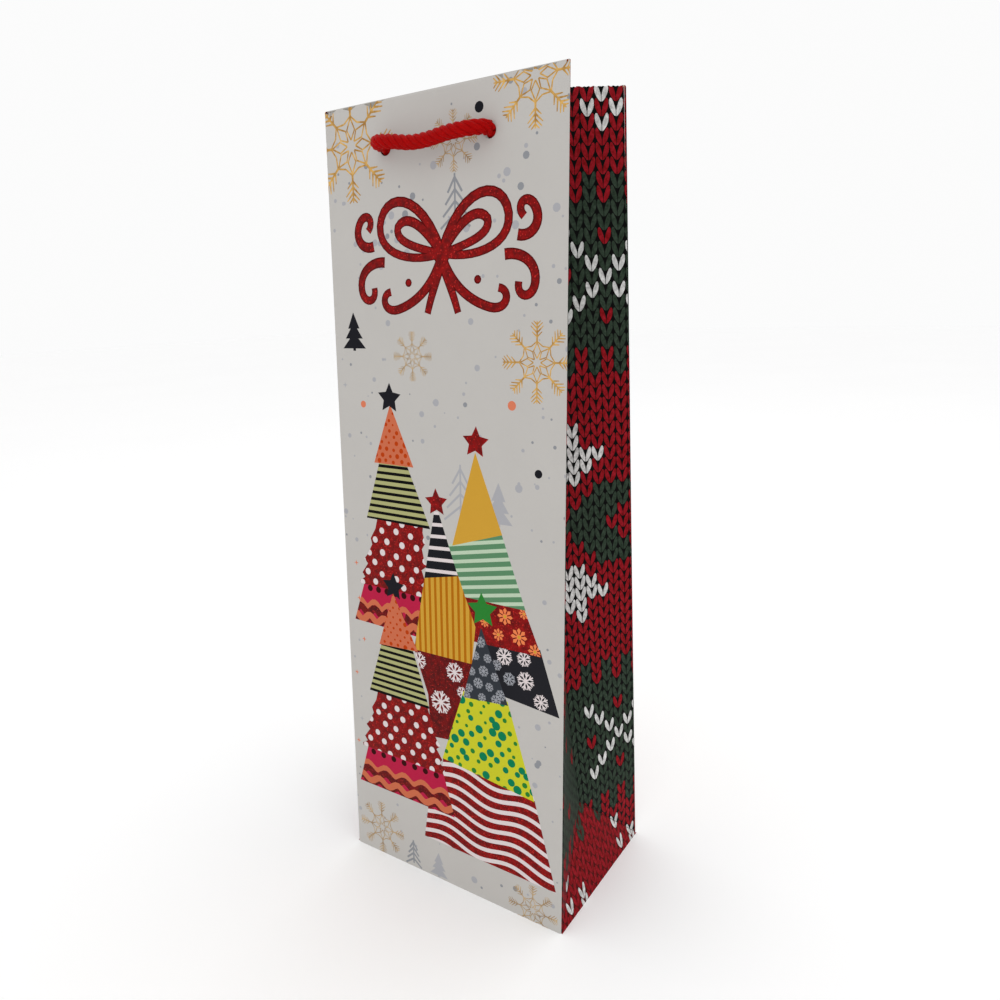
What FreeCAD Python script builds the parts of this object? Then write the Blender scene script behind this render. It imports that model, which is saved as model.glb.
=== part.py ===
"""Wine gift bag: a tall paper bag with V-creased gussets, turned-in top hems, a base card and two rope handles.

Frame: origin at the centre of the base, on the surface it stands on, +X to the right across the front panel,
+Y from the front to the back, +Z up. All sizes are in millimetres.
The mouth stands half open: both wide panels lean inwards and the side gussets fold in along a centre crease.
"""
import FreeCAD
import Part

import math
import os

from FreeCAD import Placement, Rotation, Vector

# Driving dimensions of the bag
WIDTH = 124.0            # across the front panel
DEPTH = 82.0             # front to back at the base
HEIGHT = 360.0           # along a panel, from the base crease to the mouth
PAPER = 0.3              # laminated art paper
LEAN = 2.72              # how far each wide panel leans inwards, in degrees
HEM = 40.0               # turned-in strip at the mouth
CARD = 0.6               # stiffening card inside each wide hem
CARD_WIDTH = 112.0
CARD_HEIGHT = 35.0
BASE_CARD = 1.5
BASE_CARD_GAP = 1.6      # around the base card
FLAP_OVERLAP = 14.0      # how far the front and back base flaps reach past the centre line
SIDE_FLAP = 45.0
LAP = 15.0               # glued side seam

# Rope handles
ROPE = 5.8               # rope diameter
HOLE_RADIUS = 3.8
HOLE_X = 26.5            # each hole's distance from the centre line
HOLE_HEIGHT = 341.5      # along the panel
PIVOT_OUT = 3.1          # the rope bends about this line, this far in front of the panel
KNOT_RADIUS = 6.4
KNOT_STUB = 11.0         # cut end of the rope below a knot
KNOT_SUNK = 0.9          # the rope enters a knot this share of its radius above its centre

# Clearances between pieces that move against each other
HINGE_IN = 1.5           # the corner creases lie this far behind a wide panel's face, past its hem
CREASE_GAP = 1.4         # each gusset half stops this far from the centre crease
DIAGONAL_GAP = 0.6
EDGE_GAP = 0.4
SIDE_FLAP_GAP = 1.1      # between the base flaps and the side crease, past the leaning lower triangles
BOTTOM_GAP = 0.5

HEM_FACE = PAPER + CARD + PAPER          # inner face of a wide panel's hem
GUSSET_HALF = DEPTH / 2 - HINGE_IN       # paper width of one gusset half
SINE = math.sin(math.radians(LEAN))
COSINE = math.cos(math.radians(LEAN))

FRONT = Placement(Vector(0, -DEPTH / 2, 0), Rotation(Vector(1, 0, 0), -LEAN))
HALF_TURN = Placement(Vector(0, 0, 0), Rotation(Vector(0, 0, 1), 180))


def moved(shape, placement):
    return shape.transformed(placement.toMatrix(), True)


def block(x, y, z):
    """A box from its lowest to its highest coordinate on each axis."""
    return Part.makeBox(x[1] - x[0], y[1] - y[0], z[1] - z[0], Vector(x[0], y[0], z[0]))


def mirrored_x(shape):
    return shape.mirror(Vector(0, 0, 0), Vector(1, 0, 0))


def mirrored_y(shape):
    return shape.mirror(Vector(0, 0, 0), Vector(0, 1, 0))


# Wide panels, in a panel's own frame: x across, y inwards from its outer face, z up along the paper

def with_rope_holes(shape):
    for side in (-1, 1):
        hole = Part.makeCylinder(HOLE_RADIUS, 10, Vector(side * HOLE_X, -5, HOLE_HEIGHT), Vector(0, 1, 0))
        shape = shape.cut(hole)
    return shape


def wide_panel():
    """A flat sheet whose side edges turn in round the corners."""
    half = WIDTH / 2
    sheet = block((-half, half), (0, PAPER), (BOTTOM_GAP, HEIGHT))
    for side in (-1, 1):
        inner = side * (half - PAPER)
        corner = block(sorted((inner, side * half)), (0, HINGE_IN - EDGE_GAP), (BOTTOM_GAP, HEIGHT))
        sheet = sheet.fuse(corner)
    return with_rope_holes(sheet.removeSplitter())


def wide_hem():
    """The turned-in strip, with the fold that joins it to the panel's top edge."""
    half = WIDTH / 2 - HINGE_IN
    strip = block((-half, half), (HEM_FACE - PAPER, HEM_FACE), (HEIGHT - HEM, HEIGHT))
    fold = block((-half, half), (PAPER, HEM_FACE), (HEIGHT - PAPER, HEIGHT))
    return with_rope_holes(strip.fuse(fold).removeSplitter())


def hem_card():
    half = CARD_WIDTH / 2
    top = HEIGHT - PAPER
    return with_rope_holes(block((-half, half), (PAPER, PAPER + CARD), (top - CARD_HEIGHT, top)))


def side_lap():
    """The glued lap of the one side seam, inside the back panel's left edge as the bag is seen from the front."""
    outer = WIDTH / 2 - 2 * PAPER
    return block((outer - LAP, outer), (PAPER, 2 * PAPER), (2.0, HEIGHT - HEM - 1))


# Gussets: the front half of the right gusset is made here, and the other three are its mirror images

def fold_angle(z):
    """How far a gusset half turns in from the side plane at a height, so that both halves meet on the centre plane."""
    return math.acos((GUSSET_HALF - z * SINE) / GUSSET_HALF)


def corner_crease(z):
    """A point on the right front corner crease at this height."""
    along = (z + HINGE_IN * SINE) / COSINE
    return Vector(WIDTH / 2, -DEPTH / 2 + HINGE_IN * COSINE + along * SINE, z)


FOOT_ANGLE = math.degrees(math.acos(1 - SINE))       # inward lean of the lower triangle
FOOT_HEIGHT = DEPTH / 2                              # along the paper, with both diagonals at 45 degrees
APEX_Z = FOOT_HEIGHT * math.cos(math.radians(FOOT_ANGLE))


def gusset_section(z, start, end, depth):
    """The four corners of a cut through a gusset half at one height, from start to end along the paper."""
    angle = fold_angle(max(z, APEX_Z))
    along = Vector(-math.sin(angle), math.cos(angle), 0)
    inwards = Vector(-math.cos(angle), -math.sin(angle), 0)
    origin = corner_crease(z) + inwards * depth
    return [origin + along * start, origin + along * end,
            origin + along * end + inwards * PAPER, origin + along * start + inwards * PAPER]


def facets(corners):
    """Two flat triangles for a four-cornered patch that may be slightly twisted."""
    a, b, c, d = corners
    return [Part.Face(Part.makePolygon([p, q, r, p])) for p, q, r in ((a, b, c), (a, c, d))]


def thin_sheet(sections):
    """A closed solid through four-cornered sections, with flat facets between them."""
    faces = facets(sections[0]) + facets(sections[-1])
    for (a, b, c, d), (e, f, g, h) in zip(sections, sections[1:]):
        for corners in ((a, b, f, e), (b, c, g, f), (d, h, g, c), (d, a, e, h)):  # both wide sides split the same way
            faces += facets(corners)
    shell = Part.Shell(faces)
    shell.sewShape()
    if Part.Solid(shell).Volume < 0:
        shell.reverse()
    return Part.Solid(shell)


def reach(z):
    """How far a gusset half's paper runs from its corner crease: to the diagonal low down, then to the centre crease."""
    if z >= APEX_Z:
        return GUSSET_HALF - CREASE_GAP
    return (GUSSET_HALF - CREASE_GAP) * z / APEX_Z - DIAGONAL_GAP * (1 - z / APEX_Z)


MOUTH_Z = HEIGHT * COSINE
HEM_HEIGHTS = [MOUTH_Z - HEM * part for part in (1, 0.75, 0.5, 0.25, 0)]
GUSSET_HEM_GAP = 0.12
LOWEST_SECTION = 5.0


def gusset_half():
    heights = [LOWEST_SECTION, APEX_Z, 70, 110, 150, 195, 240, 280] + HEM_HEIGHTS
    return thin_sheet([gusset_section(z, EDGE_GAP, reach(z), 0) for z in heights])


def gusset_hem():
    """The turned-in strip of a gusset half, short of both creases."""
    margin = 2 * HINGE_IN
    return thin_sheet([gusset_section(z, margin, GUSSET_HALF - margin, PAPER + GUSSET_HEM_GAP) for z in HEM_HEIGHTS])


def gusset_foot():
    """The lower triangle of the right gusset, between the two diagonal creases."""
    half = DEPTH / 2 - HINGE_IN - DIAGONAL_GAP
    tip = FOOT_HEIGHT - CREASE_GAP - DIAGONAL_GAP
    low = BOTTOM_GAP
    flat = [Vector(0, -half + low, low), Vector(0, half - low, low), Vector(0, 0, tip)]
    sheet = Part.Face(Part.makePolygon(flat + flat[:1])).extrude(Vector(-PAPER, 0, 0))
    return moved(sheet, Placement(Vector(WIDTH / 2, 0, 0), Rotation(Vector(0, 1, 0), -FOOT_ANGLE)))


# Base: the side flaps fold in first, then the front flap, then the back flap outside them

FLAP_EDGE_X = WIDTH / 2 - SIDE_FLAP_GAP
FLAP_EDGE_Y = DEPTH / 2 - EDGE_GAP


def back_base_flap():
    return block((-FLAP_EDGE_X, FLAP_EDGE_X), (-FLAP_OVERLAP, FLAP_EDGE_Y), (0, PAPER))


def front_base_flap():
    """Lies on the surface at the front and steps up over the back flap."""
    across = (-FLAP_EDGE_X, FLAP_EDGE_X)
    step = -FLAP_OVERLAP - PAPER
    low = block(across, (-FLAP_EDGE_Y, step), (0, PAPER))
    riser = block(across, (step, step + PAPER), (0, 2 * PAPER))
    high = block(across, (step, FLAP_OVERLAP), (PAPER, 2 * PAPER))
    return low.fuse([riser, high]).removeSplitter()


def side_base_flap():
    """A flap with mitred ends, on top of the other two."""
    half = DEPTH / 2 - HINGE_IN
    inner = FLAP_EDGE_X - SIDE_FLAP
    z = 2 * PAPER
    outline = [Vector(FLAP_EDGE_X, -half, z), Vector(FLAP_EDGE_X, half, z),
               Vector(inner, half - SIDE_FLAP / 2, z), Vector(inner, -half + SIDE_FLAP / 2, z)]
    return Part.Face(Part.makePolygon(outline + outline[:1])).extrude(Vector(0, 0, PAPER))


def base_card():
    x = WIDTH / 2 - BASE_CARD_GAP
    y = DEPTH / 2 - BASE_CARD_GAP
    z = 3 * PAPER
    return block((-x, x), (-y, y), (z, z + BASE_CARD))


# Ropes

def rope_axis(name, points):
    """Straight runs joined by tangent arcs, each as large as its two runs allow."""
    edges, start, radii = [], points[0], []
    for before, corner, after in zip(points, points[1:], points[2:]):
        way_in = (corner - before).normalize()
        way_out = (after - corner).normalize()
        half_turn = way_in.getAngle(way_out) / 2
        tangent = 0.45 * min((corner - before).Length, (after - corner).Length)
        radius = tangent / math.tan(half_turn)
        radii.append(radius)
        towards_centre = (way_out - way_in).normalize()
        middle = corner + towards_centre * (radius / math.cos(half_turn) - radius)
        arc_start, arc_end = corner - way_in * tangent, corner + way_out * tangent
        edges += [Part.LineSegment(start, arc_start).toShape(), Part.Arc(arc_start, middle, arc_end).toShape()]
        start = arc_end
    edges.append(Part.LineSegment(start, points[-1]).toShape())
    print(name, "bend radii in diameters", [round(r / ROPE, 2) for r in radii])
    return Part.Wire(edges)


def rope_tube(name, points):
    axis = rope_axis(name, points)
    circle = Part.makeCircle(ROPE / 2, points[0], points[1] - points[0])
    tube = axis.makePipeShell([Part.Wire(circle)], True, False)
    expected = math.pi * ROPE ** 2 / 4 * axis.Length
    print(name, "length", round(axis.Length, 1), "volume / (section x length)", round(tube.Volume / expected, 4))
    return tube


# Routes run from the left hole: x across, y inwards from the panel's face, z up along the panel

GRIP_ROUTE = [
    (-26.5, -3.1, 341.6), (-25.6, -6.2, 341.7), (-23.0, -8.6, 341.4), (-18.8, -9.4, 340.9), (-13.4, -9.2, 340.2),
    (-6.0, -8.3, 338.9), (2.4, -8.0, 339.2), (10.2, -8.5, 340.2), (16.6, -8.9, 340.5), (21.3, -8.3, 340.7),
    (24.8, -6.1, 341.1), (26.5, -3.1, 341.5)]

TAIL_ROUTE = [
    (0.0, 0.7, 341.4), (0.1, 3.3, 340.3), (0.2, 5.1, 338.2), (0.2, 6.0, 334.9), (0.0, 6.0, 329.0),
    (-0.7, 6.1, 319.0), (-2.2, 6.9, 305.0), (-2.6, 7.8, 287.0), (-4.4, 8.2, 268.0), (-5.0, 9.4, 252.0),
    (-5.0, 10.1, 238.0)]


def grip():
    """The stretch of rope between the two holes, with a rounded end at each."""
    points = [Vector(*p) for p in GRIP_ROUTE]
    tube = rope_tube("grip", points)
    for end, inner in ((points[0], points[1]), (points[-1], points[-2])):
        tube = tube.fuse(Part.makeSphere(ROPE / 2, end, end - inner, 0, 90, 360))
    return tube


def tail_points(side):
    return [Vector(side * (HOLE_X + x), y, z) for x, y, z in TAIL_ROUTE]


def tail(side):
    return rope_tube("tail", tail_points(side))


def knot(side):
    """A round knot under the tail, with the rope's cut end below it."""
    end = tail_points(side)[-1]
    before = tail_points(side)[-2]
    down = (end - before).normalize()
    centre = end + down * (KNOT_SUNK * KNOT_RADIUS)
    ball = Part.makeSphere(KNOT_RADIUS, centre)
    flat = Part.makeCylinder(2 * KNOT_RADIUS, KNOT_RADIUS, end - down * KNOT_RADIUS, down)
    stub = Part.makeCylinder(ROPE / 2, KNOT_RADIUS + KNOT_STUB, centre, down)
    return ball.cut(flat).fuse(stub)


def make_parts():
    front = {"panel": wide_panel(), "hem": wide_hem(), "hem_card": hem_card(), "handle_rope": grip(),
             "rope_tail_left": tail(-1), "rope_tail_right": tail(1), "knot_left": knot(-1), "knot_right": knot(1)}
    parts = {}
    for name, shape in front.items():
        parts["front_" + name] = moved(shape, FRONT)
        parts["back_" + name] = moved(moved(shape, FRONT), HALF_TURN)
    parts["side_seam_lap"] = moved(moved(side_lap(), FRONT), HALF_TURN)
    for name, shape in (("gusset", gusset_half()), ("gusset_hem", gusset_hem())):
        parts["right_front_" + name] = shape
        parts["right_rear_" + name] = mirrored_y(shape)
        parts["left_front_" + name] = mirrored_x(shape)
        parts["left_rear_" + name] = mirrored_x(mirrored_y(shape))
    parts["right_gusset_foot"] = gusset_foot()
    parts["left_gusset_foot"] = mirrored_x(gusset_foot())
    parts["back_base_flap"] = back_base_flap()
    parts["front_base_flap"] = front_base_flap()
    parts["right_base_flap"] = side_base_flap()
    parts["left_base_flap"] = mirrored_x(side_base_flap())
    parts["base_card"] = base_card()
    return parts


def main():
    os.makedirs("parts", exist_ok=True)
    for name, shape in make_parts().items():
        if len(shape.Solids) != 1 or not shape.isValid():
            raise ValueError(f"{name} is not one valid solid")
        shape.Solids[0].exportStep(f"parts/{name}.step")
    hinge = FRONT.multVec(Vector(WIDTH / 2, HINGE_IN, 0))
    pivot = FRONT.multVec(Vector(0, -PIVOT_OUT, HOLE_HEIGHT))
    print("front right crease passes", tuple(hinge), "along", (0, SINE, COSINE))
    print("front handle pivot", tuple(pivot))


main()
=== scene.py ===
"""Looks of a tall printed paper gift bag with twisted rope handles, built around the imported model."""
import math
import random
import bpy
import bmesh
from mathutils import Matrix, Vector
from mathutils.geometry import delaunay_2d_cdt


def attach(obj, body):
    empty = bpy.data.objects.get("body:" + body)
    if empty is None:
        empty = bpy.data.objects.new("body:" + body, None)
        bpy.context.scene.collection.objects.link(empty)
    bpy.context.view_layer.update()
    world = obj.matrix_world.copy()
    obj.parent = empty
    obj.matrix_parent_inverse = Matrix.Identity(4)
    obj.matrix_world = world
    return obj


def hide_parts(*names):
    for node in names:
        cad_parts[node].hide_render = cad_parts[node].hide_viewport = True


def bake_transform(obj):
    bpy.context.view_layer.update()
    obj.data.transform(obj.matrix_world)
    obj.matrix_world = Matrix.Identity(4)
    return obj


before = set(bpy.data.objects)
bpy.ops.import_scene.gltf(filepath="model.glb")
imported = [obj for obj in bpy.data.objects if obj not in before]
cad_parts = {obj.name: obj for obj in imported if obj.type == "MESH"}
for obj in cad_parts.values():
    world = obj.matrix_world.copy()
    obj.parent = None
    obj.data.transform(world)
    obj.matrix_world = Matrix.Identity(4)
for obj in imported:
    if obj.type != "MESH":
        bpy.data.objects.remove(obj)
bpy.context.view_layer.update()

MM = 0.001
WIDTH, DEPTH, HEIGHT = 124.0, 82.0, 360.0   # millimetres, the height along the paper
PAPER = 0.3
LEAN = math.radians(2.72)                   # how far each wide wall leans in
FOOT = math.acos(1 - math.sin(LEAN))        # how far each gusset's lower triangle leans in
HALF = DEPTH / 2
APEX = HALF * math.cos(FOOT)
HOLE_X, HOLE_HEIGHT, HOLE_RADIUS = 26.5, 341.5, 2.95      # the paper closes round the rope
ROPE = 5.8


# Camera

CAMERA_ANGLES = (-33.83, -14.30, -1.90)            # yaw, pitch and roll in degrees
CAMERA_PLACE = (0.20816, -0.29735, 0.27755)        # metres
LENS, SENSOR = 28.34, 36                           # millimetres


def add_camera():
    yaw, pitch, roll = map(math.radians, CAMERA_ANGLES)
    ahead = Vector((math.sin(yaw) * math.cos(pitch), math.cos(yaw) * math.cos(pitch), math.sin(pitch)))
    right = Vector((math.cos(yaw), -math.sin(yaw), 0))
    up = right.cross(ahead)
    right, up = math.cos(roll) * right + math.sin(roll) * up, math.cos(roll) * up - math.sin(roll) * right
    data = bpy.data.cameras.new("camera")
    data.sensor_width = SENSOR
    data.lens = LENS
    data.clip_start = 0.01
    camera = bpy.data.objects.new("camera", data)
    turned = Matrix((right, up, -ahead)).transposed().to_4x4()
    camera.matrix_world = Matrix.Translation(CAMERA_PLACE) @ turned
    bpy.context.scene.collection.objects.link(camera)
    bpy.context.scene.camera = camera


add_camera()


# Materials

LIGHT_ON_PAPER = 0.95      # how much light the walls get
GLOSS_ON_PAPER = 0.02      # what the coated surface adds to every tone
PAPER_SPECULAR = 0.04
FLAKE_SHARE = 0.09         # how much of the glitter's surface sparkles, as flakes painted lighter: a painted glint


def linear(rgb):
    """The surface colour whose lit tone is this 0-255 tone."""
    lit = [((c / 255 + 0.055) / 1.055) ** 2.4 for c in rgb]
    return [min(0.95, max(0.002, (c - GLOSS_ON_PAPER) / LIGHT_ON_PAPER)) for c in lit] + [1]


class Nodes:
    """A short way to build a shader."""

    def __init__(self, name):
        self.material = bpy.data.materials.new(name)
        self.material.use_nodes = True
        self.tree = self.material.node_tree
        self.shader = self.tree.nodes["Principled BSDF"]

    def add(self, kind, inputs=(), **settings):
        node = self.tree.nodes.new(kind)
        for key, value in settings.items():
            setattr(node, key, value)
        for key, value in dict(inputs).items():
            self.set(node, key, value)
        return node

    def set(self, node, key, value):
        if isinstance(value, bpy.types.NodeSocket):
            self.tree.links.new(value, node.inputs[key])
        else:
            node.inputs[key].default_value = value

    def texture(self, kind, scale, **inputs):
        place = self.add("ShaderNodeTexCoord").outputs["Object"]
        return self.add(kind, {"Vector": place, "Scale": scale, **inputs})

    def mix(self, factor, a, b):
        node = self.add("ShaderNodeMix", data_type="RGBA")
        self.set(node, 0, factor)
        self.set(node, 6, a)
        self.set(node, 7, b)
        return node.outputs[2]

    def ramp(self, factor, low, high):
        return self.add("ShaderNodeMapRange", {0: factor, 1: low, 2: high, 3: 0.0, 4: 1.0}).outputs[0]

    def bump(self, height, strength, distance):
        self.set(self.shader, "Normal", self.add(
            "ShaderNodeBump", {"Height": height, "Strength": strength, "Distance": distance}).outputs[0])

    def finish(self, roughness, specular):
        self.set(self.shader, "Roughness", roughness)
        self.set(self.shader, "Specular IOR Level", specular)

    def fibre_surface(self):
        """The faint fibres of printed paper."""
        self.bump(self.texture("ShaderNodeTexNoise", 900.0, Detail=4.0).outputs["Fac"], 0.12, 0.0002)


def coated(name, rgb, roughness=0.5, mottle=0.0):
    """Ink or bare tone of a coated paper; mottle is how much darker its clouds are."""
    n = Nodes(name)
    colour = linear(rgb)
    n.set(n.shader, "Base Color", colour)
    n.finish(roughness, PAPER_SPECULAR)
    n.fibre_surface()
    if mottle:
        cloud = n.texture("ShaderNodeTexNoise", 35.0, Detail=5.0, Roughness=0.6)
        darker = [c * (1 - mottle) for c in colour[:3]] + [1]
        n.set(n.shader, "Base Color", n.mix(n.ramp(cloud.outputs["Fac"], 0.3, 0.7), colour, darker))
    return n.material


def glitter(name, rgb, glint_colour):
    """Ink full of tiny flakes: the flakes are real, and their sparkle is a painted glint in a lighter colour."""
    n = Nodes(name)
    flakes = n.texture("ShaderNodeTexVoronoi", 2300.0)
    grey = n.add("ShaderNodeSeparateColor", {"Color": flakes.outputs["Color"]})
    clouds = n.texture("ShaderNodeTexNoise", 420.0, Detail=3.0)
    body = n.mix(n.ramp(clouds.outputs["Fac"], 0.35, 0.68), linear([c * 0.72 for c in rgb]), linear(rgb))
    # the flakes get the lighter colour: a painted glint
    painted_glint = n.ramp(grey.outputs[0], 1 - FLAKE_SHARE, 1.0)
    n.set(n.shader, "Base Color", n.mix(painted_glint, body, linear(glint_colour)))
    n.finish(0.4, 0.08)
    n.bump(grey.outputs[1], 0.35, 0.0003)
    return n.material


def foil(name, light, dark):
    """Gold ink, brownish in places."""
    n = Nodes(name)
    cloud = n.texture("ShaderNodeTexNoise", 380.0, Detail=4.0)
    n.set(n.shader, "Base Color", n.mix(n.ramp(cloud.outputs["Fac"], 0.36, 0.64), linear(light), linear(dark)))
    n.set(n.shader, "Metallic", 0.1)
    n.finish(0.45, 0.2)
    return n.material


def yarn(name, rgb):
    """A printed stitch, lighter along its ridges."""
    n = Nodes(name)
    fibre = n.texture("ShaderNodeTexNoise", 620.0, Detail=3.0, Roughness=0.65)
    valley, ridge = linear([c * 0.8 for c in rgb]), linear([min(255, c * 1.1) for c in rgb])
    n.set(n.shader, "Base Color", n.mix(n.ramp(fibre.outputs["Fac"], 0.3, 0.72), valley, ridge))
    n.finish(0.6, PAPER_SPECULAR)
    n.fibre_surface()
    return n.material


def board(name, rgb, dark):
    """Grey recycled card with flecks."""
    n = Nodes(name)
    pulp = n.texture("ShaderNodeTexNoise", 260.0, Detail=6.0, Roughness=0.7)
    fleck = n.texture("ShaderNodeTexVoronoi", 420.0, Randomness=1.0)
    speck = n.ramp(fleck.outputs["Distance"], 0.16, 0.08)
    ground = n.mix(n.ramp(pulp.outputs["Fac"], 0.35, 0.65), linear(rgb), linear([c * 0.93 for c in rgb]))
    n.set(n.shader, "Base Color", n.mix(speck, ground, linear(dark)))
    n.set(n.shader, "Roughness", 0.85)
    n.bump(pulp.outputs["Fac"], 0.3, 0.0003)
    return n.material


def cord_material():
    """Red rope fibre, uneven in tone."""
    n = Nodes("rope_red")
    fibre = n.texture("ShaderNodeTexNoise", 1500.0, Detail=4.0, Roughness=0.7)
    broad = n.texture("ShaderNodeTexNoise", 160.0, Detail=2.0)
    tone = n.mix(n.ramp(fibre.outputs["Fac"], 0.3, 0.7), linear((128, 22, 20)), linear((190, 30, 28)))
    n.set(n.shader, "Base Color", n.mix(n.ramp(broad.outputs["Fac"], 0.3, 0.75), tone, linear((156, 24, 22))))
    n.finish(0.42, 0.03)
    n.bump(fibre.outputs["Fac"], 0.55, 0.0003)
    return n.material


INKS = {
    "paper": coated("paper_white", (187, 184, 180), mottle=0.03),
    "inside": coated("paper_inside", (196, 194, 190), roughness=0.75, mottle=0.04),
    "grey": coated("ink_grey", (164, 164, 168)),
    "mid_grey": coated("ink_mid_grey", (140, 142, 146)),
    "charcoal": coated("ink_charcoal", (48, 48, 51)),
    "black": coated("ink_black", (30, 30, 27)),
    "olive": coated("ink_olive", (166, 166, 118)),
    "orange": coated("ink_orange", (210, 124, 96), mottle=0.06),
    "salmon": coated("ink_salmon", (196, 110, 82), mottle=0.06),
    "brown": coated("ink_brown", (176, 70, 40)),
    "pink": coated("ink_pink", (178, 50, 76), mottle=0.06),
    "plum": coated("ink_plum", (64, 26, 34)),
    "mustard": coated("ink_mustard", (198, 153, 66), mottle=0.04),
    "mustard_dark": coated("ink_mustard_dark", (170, 106, 36)),
    "mint": coated("ink_mint", (180, 198, 174)),
    "leaf": coated("ink_leaf", (94, 134, 102)),
    "green": coated("ink_green", (58, 128, 62), mottle=0.08),
    "slate": coated("ink_slate", (64, 67, 72), mottle=0.1),
    "night": coated("ink_night", (52, 52, 55), mottle=0.1),
    "lime": coated("ink_lime", (194, 194, 58), mottle=0.04),
    "dot_green": coated("ink_dot_green", (32, 122, 86)),
    "flake": coated("ink_flake", (212, 202, 202)),
    "flake_grey": coated("ink_flake_grey", (150, 152, 158)),
    "peach": coated("ink_peach", (226, 128, 84)),
    "red": glitter("glitter_red", (144, 18, 25), (200, 58, 54)),
    "wine": glitter("glitter_wine", (118, 16, 24), (176, 56, 52)),
    "rim": coated("ink_rim", (92, 12, 20)),
    "gold": foil("foil_gold", (208, 166, 96), (158, 118, 66)),
    "bronze": foil("foil_bronze", (186, 160, 122), (150, 126, 96)),
    "stitch_red": yarn("stitch_red", (142, 44, 51)),
    "stitch_green": yarn("stitch_green", (63, 73, 64)),
    "stitch_white": yarn("stitch_white", (204, 204, 202)),
    "stitch_gap": coated("stitch_gap", (30, 24, 22)),
    "foot_gap": coated("foot_gap", (84, 20, 26)),
}


# Printed sheets: shapes in millimetres on the flat paper, painted in order

SMALLEST_AREA = 1e-4        # square millimetres; what is smaller isn't painted
JOIN_DISTANCE = 1e-4        # millimetres; points this close are one point


def polygon_area(points):
    return sum(a[0] * b[1] - b[0] * a[1] for a, b in zip(points, points[1:] + points[:1])) / 2


def holds(outline, point):
    """Whether the point is inside the outline."""
    crossings = 0
    for (ax, ay), (bx, by) in zip(outline, outline[1:] + outline[:1]):
        if (ay > point.y) != (by > point.y) and point.x < ax + (bx - ax) * (point.y - ay) / (by - ay):
            crossings += 1
    return crossings % 2 == 1


class Artwork:
    """The shapes printed on a sheet. Shape 0 is the sheet itself."""

    def __init__(self, outline, ground):
        self.shapes = []
        self.add(outline, ground)

    def add(self, points, ink, within=None):
        """Paints a shape and returns its number; within is the number of a shape that cuts this one off."""
        points = [(float(x), float(y)) for x, y in points]
        area = polygon_area(points)
        if abs(area) < SMALLEST_AREA:
            return None
        if area < 0:
            points.reverse()
        self.shapes.append((points, ink, within))
        return len(self.shapes) - 1

    def stroke(self, line, width, ink, within=None, tip=None):
        """A line drawn as short four-sided pieces; tip is its width at the far end."""
        line = [Vector(p) for p in line]
        sides = []
        for i, point in enumerate(line):
            run = (line[min(i + 1, len(line) - 1)] - line[max(i - 1, 0)]).normalized()
            wide = width if tip is None else width + (tip - width) * i / (len(line) - 1)
            across = Vector((-run.y, run.x)) * wide / 2
            sides.append((point + across, point - across))
        for (a, b), (c, d) in zip(sides, sides[1:]):
            self.add((a, b, d, c), ink, within)

    def inks_by_triangle(self, extra_points):
        """The flat sheet as points, triangles and the ink on each."""
        points, faces = [], []
        for shape, _, _ in self.shapes:
            faces.append(list(range(len(points), len(points) + len(shape))))
            points += shape
        points += extra_points
        flat, _, triangles, _, _, owners = delaunay_2d_cdt(
            [Vector(p) for p in points], [], faces, 0, JOIN_DISTANCE, True)
        chosen = []
        for triangle, inside in zip(triangles, owners):
            middle = sum((flat[i] for i in triangle), Vector((0, 0))) / 3
            inside = {i for i in inside if holds(self.shapes[i][0], middle)}
            if 0 not in inside:
                continue
            top = max(i for i in inside if self.shapes[i][2] is None or self.shapes[i][2] in inside)
            chosen.append((triangle, self.shapes[top][1]))
        return flat, chosen


def sheet_object(name, artwork, place, extra_points):
    """The printed outer face, the plain inner face behind it, and the cut edges between them.
    place gives the point on the bag for a point of the flat sheet and a depth in the paper."""
    flat, chosen = artwork.inks_by_triangle(extra_points)
    chosen = [(t, ink) for t, ink in chosen if ink != "hole"]
    used = sorted({i for t, _ in chosen for i in t})
    number = {old: new for new, old in enumerate(used)}
    count = len(used)
    points = [place(flat[i].x, flat[i].y, depth) for depth in (0.0, PAPER) for i in used]
    inks = ["inside"] + sorted({ink for _, ink in chosen})
    faces, slots, edges = [], [], {}
    for triangle, ink in chosen:
        a, b, c = (number[i] for i in triangle)
        faces += [(a, b, c), (c + count, b + count, a + count)]
        slots += [inks.index(ink), 0]
        for edge in ((a, b), (b, c), (c, a)):
            edges[edge] = inks.index(ink)
    for (a, b), slot in edges.items():
        if (b, a) not in edges:
            faces.append((b, a, a + count, b + count))
            slots.append(slot)
    mesh = bpy.data.meshes.new(name)
    mesh.from_pydata([p * MM for p in points], [], faces)
    for ink in inks:
        mesh.materials.append(INKS[ink])
    mesh.polygons.foreach_set("material_index", slots)
    mesh.update()
    return finish_mesh(name, mesh)


def finish_mesh(name, mesh, smooth_angle=40):
    """The mesh as a smooth-shaded object; edges past the angle, in degrees, stay sharp."""
    work = bmesh.new()
    work.from_mesh(mesh)
    bmesh.ops.recalc_face_normals(work, faces=work.faces)
    work.to_mesh(mesh)
    work.free()
    mesh.shade_smooth()
    mesh.set_sharp_from_angle(angle=math.radians(smooth_angle))
    piece = bpy.data.objects.new(name, mesh)
    bpy.context.scene.collection.objects.link(piece)
    return piece


# Shapes of the print: x from the sheet's left edge, y down from its top, both in millimetres

def disc(x, y, r, corners=14):
    return [(x + r * math.cos(2 * math.pi * i / corners), y + r * math.sin(2 * math.pi * i / corners))
            for i in range(corners)]


def star(x, y, r, inner=0.5, turn=0.0, points=5):
    return [(x + r * (1 if i % 2 == 0 else inner) * math.sin(math.pi * i / points + turn),
             y - r * (1 if i % 2 == 0 else inner) * math.cos(math.pi * i / points + turn))
            for i in range(2 * points)]


def between(a, b, f):
    return (a[0] + (b[0] - a[0]) * f, a[1] + (b[1] - a[1]) * f)


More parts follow.
